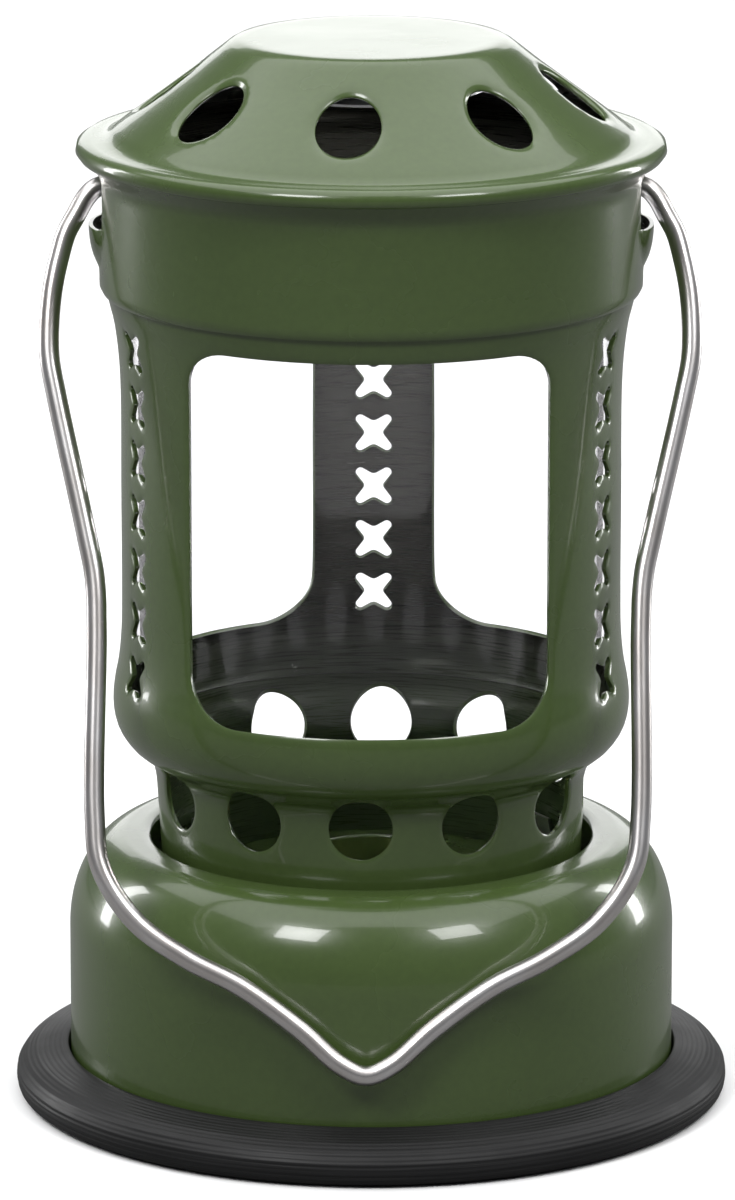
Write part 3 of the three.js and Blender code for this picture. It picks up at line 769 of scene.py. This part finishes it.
cage_cuts = []
for azimuth, half_angle in WINDOWS:
    cage_cuts.append(square_on(window_shape(half_angle), CAGE_YAW + np.radians(azimuth), cage_line))
for azimuth, lowest, pitch in POSTS:
    for step in range(CROSSES_PER_POST):
        cross = cross_shape() + (0, lowest + pitch * step)
        cage_cuts.append(square_on(cross, CAGE_YAW + np.radians(azimuth), cage_line))
for hole in range(AIR_HOLES):
    air_hole = circle(AIR_HOLE_RADIUS) + (0, AIR_HOLE_HEIGHT)
    cage_cuts.append(square_on(air_hole, AIR_YAW + 2 * np.pi / AIR_HOLES * hole, cage_line))
print(len(cage_cuts), "holes in the cage")

# %% Punch and roll the cage
cage = punched("punched_cage", cage_line, cage_cuts, CAGE_RADIUS,
               seam=np.radians(190), dip=0.16, dip_width=0.9)  # the seam lies clear of every hole
sheet_metal(cage, inside=1)
place(cage, "cage", "cage", "green_enamel", ENAMEL, DARK_COAT)

# %% [markdown]
# ## Glass chimney and its retainer
# A plain glass tube stands inside the posts. Its ends are fire-polished, so the outline's corners are
# rounded before it is turned. A pressed ring in the cage's mouth keeps the top of the glass central.

# %% Chimney and retainer
tube_wall = rounded([(31.4, 51.7), (33, 51.7), (33, 118.5), (31.4, 118.5)], 0.7, closed=True)
chimney = turned("glass_tube", even_loop(tube_wall, 0.9), columns=200, closed=True)
place(chimney, "cage", "glass_chimney", "clear_glass", GLASS)

ring_loop = [(33.3, 115.8), (33.9, 115.8), (33.9, 118.8), (35.4, 118.8), (35.4, 119.4), (30.8, 119.4),
             (30.8, 118.8), (33.3, 118.8)]
retainer = turned("glass_retainer", even_loop(rounded(ring_loop, 0.25, closed=True), 0.15), closed=True)
place(retainer, "cage", "chimney_retainer", "plated_steel", PLATE)

# %% [markdown]
# ## Cap
# The cap is spun too: a flat crown, a straight cone, a shallow valley and a brim rolled under. Its vents
# are punched straight down, so they are true circles seen from above and long ovals along the slope. The
# crown is closed by a fan of triangles, which is safe only because it is flat.

# %% The cap's outline, from under the rolled brim to the crown
CROWN = 149.5
ROLL_RADIUS, ROLL_OUT, ROLL_HEIGHT = 1.35, 39.35, 134.3
SLOPE = 0.746  # how far the cone falls for each millimetre outwards
VENTS, VENT_RADIUS, VENT_OUT, VENT_YAW = 8, 4.4, 28.05, -6.4


def cap_line():
    """The roll is an arc: its centre plus its radius times cosine and sine. The cone is a straight line."""
    cone = lambda r: (r, 149.0 - SLOPE * (r - 19.1))
    a = np.radians(np.linspace(-60, 90, 26))
    roll = np.column_stack([ROLL_OUT + ROLL_RADIUS * np.cos(a), ROLL_HEIGHT + ROLL_RADIUS * np.sin(a)])
    valley = rounded([(39.3, 135.65), (36.55, 135.72), cone(35.5), cone(24)], 1.6)
    crown = rounded([cone(24), (18.75, CROWN), (12, CROWN)], 3.2)
    return even(np.vstack([roll, valley[1:], crown[1:]]), 0.2)


def plan_round(radius, out, azimuth, line):
    """A circle seen from above, its centre at a radius: each point keeps its own radius and azimuth."""
    x, y = circle(radius, 60).T
    run = np.r_[0, np.cumsum(np.linalg.norm(np.diff(line, axis=0), axis=1))]
    inwards = line[:, 1] > 135.8  # the part where the radius only falls
    length = np.interp(-np.hypot(x, out + y), -line[inwards, 0], run[inwards])
    return np.column_stack([azimuth + np.arctan2(x, out + y), length])


# %% Punch the cap
crown_line = cap_line()
vents = [plan_round(VENT_RADIUS, VENT_OUT, np.radians(VENT_YAW + 360 / VENTS * i), crown_line)
         for i in range(VENTS)]
cap = punched("spun_cap", crown_line, vents, 30.0, seam=np.radians(16), dip=0.5, dip_width=1.5, crown=CROWN)
sheet_metal(cap, thick=PRESSED, inside=1)
place(cap, "cap", "cap_top", "green_enamel", ENAMEL, DARK_COAT)

# %% [markdown]
# ## Band and its ears
# The band under the brim slips over the cage's mouth. On each side a slot is cut and the metal below it
# is pushed out into an ear, which makes the pocket that the bail's end turns in. The ear is a quarter of
# an ellipsoid, open at its top, and a soft maximum blends it into the band.

# %% Band
BAND_RADIUS, EAR_RADIUS = 37.5, 39.0
EAR_HALF, EAR_LOW, EAR_LIP, SLOT_TOP = 6.6, 117.3, 123.7, 130.5
band_corners = [(37.1, 114.6), (BAND_RADIUS, 115.3), (BAND_RADIUS, 130.6), (37.9, 131.4), (39.35, 133.55)]
band_line = even(rounded(band_corners, 0.7), 0.2)


def ears(a, r, z):
    """Radius with the ears: the larger of the band and an ellipsoid about the foot of the ear, blended by
    the logarithm of the sum of their exponentials."""
    for side in (np.pi / 2, -np.pi / 2):
        off = np.mod(a - side + np.pi, 2 * np.pi) - np.pi
        across = r * np.sin(off)
        foot = np.sqrt(BAND_RADIUS**2 - EAR_HALF**2) - 0.3
        room = 1 - (across / EAR_HALF) ** 2 - ((EAR_LIP - z) / (EAR_LIP - EAR_LOW)) ** 2
        bowl = foot + (EAR_RADIUS - foot) * np.sqrt(np.clip(room, 0, 1))
        bowl = np.hypot(bowl, across)
        soft = np.logaddexp(r * 5, bowl * 5) / 5 - r  # 5 sets how tight the blend is
        near = (np.abs(off) < 0.4) & (z < EAR_LIP + 0.2) & (room > -0.35)
        r = np.where(near, r + np.maximum(soft - 0.06, 0), r)
    return r


def slot_loop(side):
    """The slot above an ear: a rectangle with rounded corners, square on to the band."""
    corners = [(-EAR_HALF, EAR_LIP), (EAR_HALF, EAR_LIP), (EAR_HALF, SLOT_TOP), (-EAR_HALF, SLOT_TOP)]
    shape = even_loop(rounded(corners, 0.7, closed=True), 0.45)
    return square_on(shape, side, band_line)


slots = [slot_loop(np.pi / 2), slot_loop(-np.pi / 2)]
band = punched("cap_band_with_ears", band_line, slots, BAND_RADIUS,
               seam=np.pi, step=0.8, dip=0.0, press=ears)
sheet_metal(band, thick=PRESSED, edge=0.16, inside=1)
place(band, "cap", "cap_band", "green_enamel", ENAMEL, DARK_COAT)

# %% [markdown]
# ## Bail
# The bail is one drawn wire, bent to a shape like a lyre: in through the slots, out over the ears, down
# past the cage and together into a blunt V. It hangs forward against the base. A bevelled curve object
# would do, but a swept grid gives the wire a UV map in true metres for its drawing lines.

# %% Bail
WIRE_RADIUS, PIVOT_HEIGHT, BAIL_TIP = 1.4, 127.2, 121.3
BAIL_TILT, BAIL_LEAN = 22.2, 0.0058  # degrees forward from upright, and sideways shift for each mm down
BAIL_ROUTE = [
    (34.9, -3.5), (35.0, -2.6), (35.7, -1.9), (36.8, -1.75), (38.1, -1.2), (39.3, 0.1), (40.6, 2.5),
    (41.9, 5.0), (42.75, 8.0), (43.7, 12.8), (44.1, 18.0), (44.0, 22.5), (43.0, 27.8), (38.7, 47.0),
    (37.5, 53.0), (37.15, 60.0), (37.15, 86.0), (36.2, 93.0), (31.5, 100.2), (24.5, 105.3), (17.0, 109.2),
    (9.0, 115.0), (3.4, 119.9)]  # half width and distance below the pivots, in the wire's own plane


def swept_wire(route, radius, tilt, pivot_height, lean, sides=28):
    """Rings across the route: centre + radius (cos q · plane's normal + sin q · the other way across).
    The route leans sideways by lean · the distance below the pivots. The radius shrinks as a quarter
    circle over the last part of each end."""
    route = eased(route, 0.7)
    route[:, 0] -= lean * route[:, 1]
    run = np.r_[0, np.cumsum(np.linalg.norm(np.diff(route, axis=0), axis=1))]
    ends = np.clip(np.minimum(run, run[-1] - run) / 0.6, 0, 1)
    width = radius * (0.55 + 0.45 * np.sqrt(1 - (1 - ends) ** 2)) * (ends > 0)
    t = np.radians(tilt)
    down, normal = np.array([0, -np.sin(t), -np.cos(t)]), np.array([0, np.cos(t), -np.sin(t)])
    centre = route[:, :1] * [1, 0, 0] + route[:, 1:] * down + [0, 0, pivot_height]
    along = np.gradient(centre, axis=0)
    along /= np.linalg.norm(along, axis=1)[:, None]
    q = np.linspace(0, 2 * np.pi, sides, endpoint=False)[:, None]
    other = np.cross(along, normal)[:, None]
    grid = centre[:, None] + width[:, None, None] * (np.cos(q) * normal + np.sin(q) * other)
    return grid_piece("wire_bail", grid[:, ::-1])


whole_route = BAIL_ROUTE + [(0, BAIL_TIP)] + [(-half, drop) for half, drop in BAIL_ROUTE[::-1]]
bail = swept_wire(whole_route, WIRE_RADIUS, BAIL_TILT, PIVOT_HEIGHT, BAIL_LEAN)
place(bail, "bail", "bail", "stainless_wire", WIRE)

# %% [markdown]
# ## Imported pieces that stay
# The leaf springs, their rivets, the gasket and the heat shield already have their true shape, so they
# only get their finishes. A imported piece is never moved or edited.

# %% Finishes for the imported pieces
KEPT = {"burner_gasket": GASKET_RUBBER, "heat_baffle": PLATE}
for number in (1, 2, 3):
    KEPT[f"neck_clip_{number}"] = KEPT[f"clip_rivet_{number}"] = PLATE
for node_name, finish in KEPT.items():
    for material_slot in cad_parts[node_name].material_slots:
        material_slot.material = finish
print("kept from the packed model:", ", ".join(KEPT))

# %% [markdown]
# ## Floor, light and camera
# The floor is plain and pale. The light is a plain product set: a big soft panel overhead, a bright
# panel low behind, two softboxes in front at half height, and a strip on each side for the long upright
# highlights. Each softbox is set by how bright its face is, and its power follows from its area. A white
# table would cover the enamel with its reflection, so the floor answers reflected light as a grey one.

# %% Floor
def pale_floor():
    """A plane that is pale where it is seen directly or through glass, and dim to every other ray."""
    material, tree, into = new_finish("pale floor", Roughness=1.0, IOR=1.01)
    seen = add(tree, "ShaderNodeLightPath").outputs
    direct = add(tree, "ShaderNodeMath", {
        0: seen["Is Camera Ray"], 1: seen["Is Transmission Ray"]}, operation="MAXIMUM").outputs[0]
    dim = use(tree, MOTTLE, Colour=(0.2, 0.2, 0.2, 1), Amount=0.05, Scale=3.0)["Colour"]
    pale = use(tree, MOTTLE, Colour=(0.92, 0.92, 0.92, 1), Amount=0.02, Scale=3.0)["Colour"]
    mixed = add(tree, "ShaderNodeMix", {0: direct, 6: dim, 7: pale}, data_type="RGBA")
    tree.links.new(mixed.outputs[2], into["Base Color"])
    mesh = bpy.data.meshes.new("floor")
    half = 4  # metres
    corners = [(-half, -half, 0), (half, -half, 0), (half, half, 0), (-half, half, 0)]
    mesh.from_pydata(corners, [], [(0, 1, 2, 3)])
    mesh.materials.append(material)
    floor = bpy.data.objects.new("floor", mesh)
    bpy.context.scene.collection.objects.link(floor)
    print("floor, m across:", 2 * half)


pale_floor()


# %% Softboxes
def softbox(name, azimuth, height, far, width, tall, brightness, target=0.07):
    """A soft panel facing the lamp. Power is brightness times pi times the area of its face."""
    lamp = bpy.data.lights.new(name, "AREA")
    lamp.shape, lamp.size, lamp.size_y = "RECTANGLE", width, tall
    lamp.energy = brightness * np.pi * width * tall
    panel = bpy.data.objects.new(name, lamp)
    a, e = np.radians(azimuth), np.radians(height)
    out = np.array([np.sin(a) * np.cos(e), -np.cos(a) * np.cos(e), np.sin(e)])
    panel.location = out * far + (0, 0, target)
    panel.rotation_euler = (np.pi / 2 - e, 0, a)
    bpy.context.scene.collection.objects.link(panel)
    print(f"{name}: {lamp.energy:.2f} W")


softbox("overhead", 180, 86, 1.3, 2.5, 1.9, 1.85)
softbox("behind", 180, 14, 1.8, 1.15, 0.7, 1.85)
softbox("front_left", -33, 43, 1.3, 0.36, 0.36, 17)
softbox("front_right", 40, 43, 1.3, 0.36, 0.32, 14)
softbox("strip_left", -120, 12, 0.9, 0.12, 0.6, 13.0)
softbox("strip_right", 122, 12, 0.9, 0.12, 0.6, 13.0)

# %% The room's own light
world = bpy.data.worlds.new("soft grey room")
bpy.context.scene.world = world
world.use_nodes = True
room_light = world.node_tree.nodes["Background"].inputs
room_light["Color"].default_value = (0.93, 0.96, 1.0, 1)
room_light["Strength"].default_value = 0.17
bpy.context.scene.view_settings.view_transform = "Standard"
print("room light:", round(room_light["Strength"].default_value, 2))

# %% Camera
EYE = (-0.523, -1118.45, 341.90)  # mm
LOOKS_DOWN = 13.657  # degrees
LENS_PER_HEIGHT = 8265.7 / 1200  # focal length over the height of the frame
eye = bpy.data.cameras.new("camera")
eye.sensor_width = 36.0
eye.lens = eye.sensor_width * LENS_PER_HEIGHT
camera = bpy.data.objects.new("camera", eye)
camera.location = [part * MM for part in EYE]
camera.rotation_euler = (np.radians(90 - LOOKS_DOWN), 0, 0)
bpy.context.scene.collection.objects.link(camera)
bpy.context.scene.camera = camera
print("camera lens, mm:", round(eye.lens, 1))
